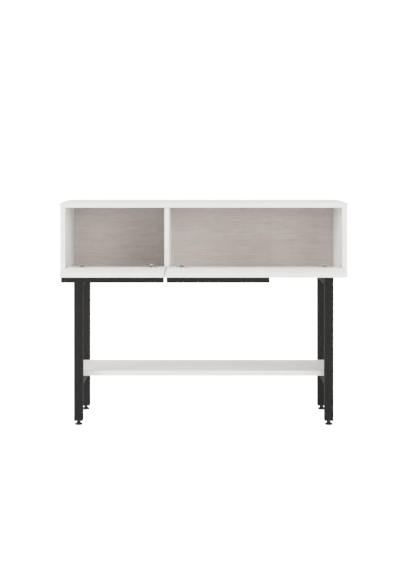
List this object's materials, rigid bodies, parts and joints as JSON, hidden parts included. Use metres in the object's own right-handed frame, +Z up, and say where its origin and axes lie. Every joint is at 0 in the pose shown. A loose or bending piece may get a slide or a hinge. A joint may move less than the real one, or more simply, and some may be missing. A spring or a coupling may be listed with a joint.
{
  "type": "console table",
  "caption": "Narrow console table: board case with bottom-hinged flap doors on black tube side frames with a lower shelf and levelling feet.",
  "frame": {"origin": "on the floor, under the centre of the bounding box with both flap doors lying open", "axes": "+X to the right along the length as seen by a person facing the doors, +Y to the back, +Z up"},
  "size_m": [1.104, 0.5734, 0.857],
  "materials": {
    "white_board": "white melamine-faced board, satin",
    "wood_grain_back": "grey-taupe wood-grain foil with fine horizontal streaks, matt",
    "beech": "bare beech",
    "black_steel": "fine-textured black powder coat",
    "black_plastic": "moulded black nylon",
    "nickel_plated_steel": "nickel plate",
    "zinc_plated_steel": "bright zinc plate",
    "black_oxide_steel": "oiled black oxide"
  },
  "bodies": {
    "table": {"back_left_leg": "black_steel", "back_panel": "wood_grain_back", "back_right_leg": "black_steel", "bottom_panel": "white_board", "cam_bolts": "zinc_plated_steel", "cam_locks": "zinc_plated_steel", "centre_divider": "white_board", "divider_screws": "nickel_plated_steel", "dowels": "beech", "frame_screws": "nickel_plated_steel", "front_left_leg": "black_steel", "front_right_leg": "black_steel", "hinge_arm_screws": "nickel_plated_steel", "hinge_plate_screws": "nickel_plated_steel", "left_inner_hinge_arm": "nickel_plated_steel", "left_inner_hinge_plate": "nickel_plated_steel", "left_lower_rail": "black_steel", "left_outer_hinge_arm": "nickel_plated_steel", "left_outer_hinge_plate": "nickel_plated_steel", "left_side_panel": "white_board", "left_top_rail": "black_steel", "leg_plugs": "black_plastic", "right_inner_hinge_arm": "nickel_plated_steel", "right_inner_hinge_plate": "nickel_plated_steel", "right_lower_rail": "black_steel", "right_outer_hinge_arm": "nickel_plated_steel", "right_outer_hinge_plate": "nickel_plated_steel", "right_side_panel": "white_board", "right_top_rail": "black_steel", "shelf": "white_board", "shelf_screws": "nickel_plated_steel", "threaded_inserts": "zinc_plated_steel", "top_board": "white_board"},
    "left_flap_door": {"left_door": "white_board", "left_door_handle": "black_steel", "left_handle_screws": "nickel_plated_steel", "left_hinge_cup_screws": "nickel_plated_steel", "left_hinge_pins": "nickel_plated_steel", "left_inner_hinge_cup": "nickel_plated_steel", "left_outer_hinge_cup": "nickel_plated_steel"},
    "right_flap_door": {"right_door": "white_board", "right_door_handle": "black_steel", "right_handle_screws": "nickel_plated_steel", "right_hinge_cup_screws": "nickel_plated_steel", "right_hinge_pins": "nickel_plated_steel", "right_inner_hinge_cup": "nickel_plated_steel", "right_outer_hinge_cup": "nickel_plated_steel"},
    "front_left_foot": {"front_left_foot_pad": "black_plastic"},
    "front_left_screw": {"front_left_foot_stem": "black_oxide_steel"},
    "front_right_foot": {"front_right_foot_pad": "black_plastic"},
    "front_right_screw": {"front_right_foot_stem": "black_oxide_steel"},
    "back_left_foot": {"back_left_foot_pad": "black_plastic"},
    "back_left_screw": {"back_left_foot_stem": "black_oxide_steel"},
    "back_right_foot": {"back_right_foot_pad": "black_plastic"},
    "back_right_screw": {"back_right_foot_stem": "black_oxide_steel"}
  },
  "joints": [
    {"name": "left_door_hinge", "type": "hinge", "parent": "table", "child": "left_flap_door", "pos_m": [0, -0.05515, 0.6015], "axis": [-1, 0, 0], "range_deg": [0, 90]},
    {"name": "right_door_hinge", "type": "hinge", "parent": "table", "child": "right_flap_door", "pos_m": [0, -0.05515, 0.6015], "axis": [-1, 0, 0], "range_deg": [0, 90]},
    {"name": "front_left_foot_travel", "type": "slide", "parent": "table", "child": "front_left_foot", "axis": [0, 0, -1], "range_m": [0, 0.01]},
    {"name": "front_left_screw_turn", "type": "hinge", "parent": "front_left_foot", "child": "front_left_screw", "pos_m": [-0.483, -0.02935, 0], "axis": [0, 0, -1], "range_deg": [-1, 2881]},
    {"name": "front_right_foot_travel", "type": "slide", "parent": "table", "child": "front_right_foot", "axis": [0, 0, -1], "range_m": [0, 0.01]},
    {"name": "front_right_screw_turn", "type": "hinge", "parent": "front_right_foot", "child": "front_right_screw", "pos_m": [0.483, -0.02935, 0], "axis": [0, 0, -1], "range_deg": [-1, 2881]},
    {"name": "back_left_foot_travel", "type": "slide", "parent": "table", "child": "back_left_foot", "axis": [0, 0, -1], "range_m": [0, 0.01]},
    {"name": "back_left_screw_turn", "type": "hinge", "parent": "back_left_foot", "child": "back_left_screw", "pos_m": [-0.483, 0.25265, 0], "axis": [0, 0, -1], "range_deg": [-1, 2881]},
    {"name": "back_right_foot_travel", "type": "slide", "parent": "table", "child": "back_right_foot", "axis": [0, 0, -1], "range_m": [0, 0.01]},
    {"name": "back_right_screw_turn", "type": "hinge", "parent": "back_right_foot", "child": "back_right_screw", "pos_m": [0.483, 0.25265, 0], "axis": [0, 0, -1], "range_deg": [-1, 2881]}
  ],
  "couplings": [
    {"joint": "front_left_screw_turn", "follows": "front_left_foot_travel", "rad_per_m": 5026.5},
    {"joint": "front_right_screw_turn", "follows": "front_right_foot_travel", "rad_per_m": 5026.5},
    {"joint": "back_left_screw_turn", "follows": "back_left_foot_travel", "rad_per_m": 5026.5},
    {"joint": "back_right_screw_turn", "follows": "back_right_foot_travel", "rad_per_m": 5026.5}
  ]
}
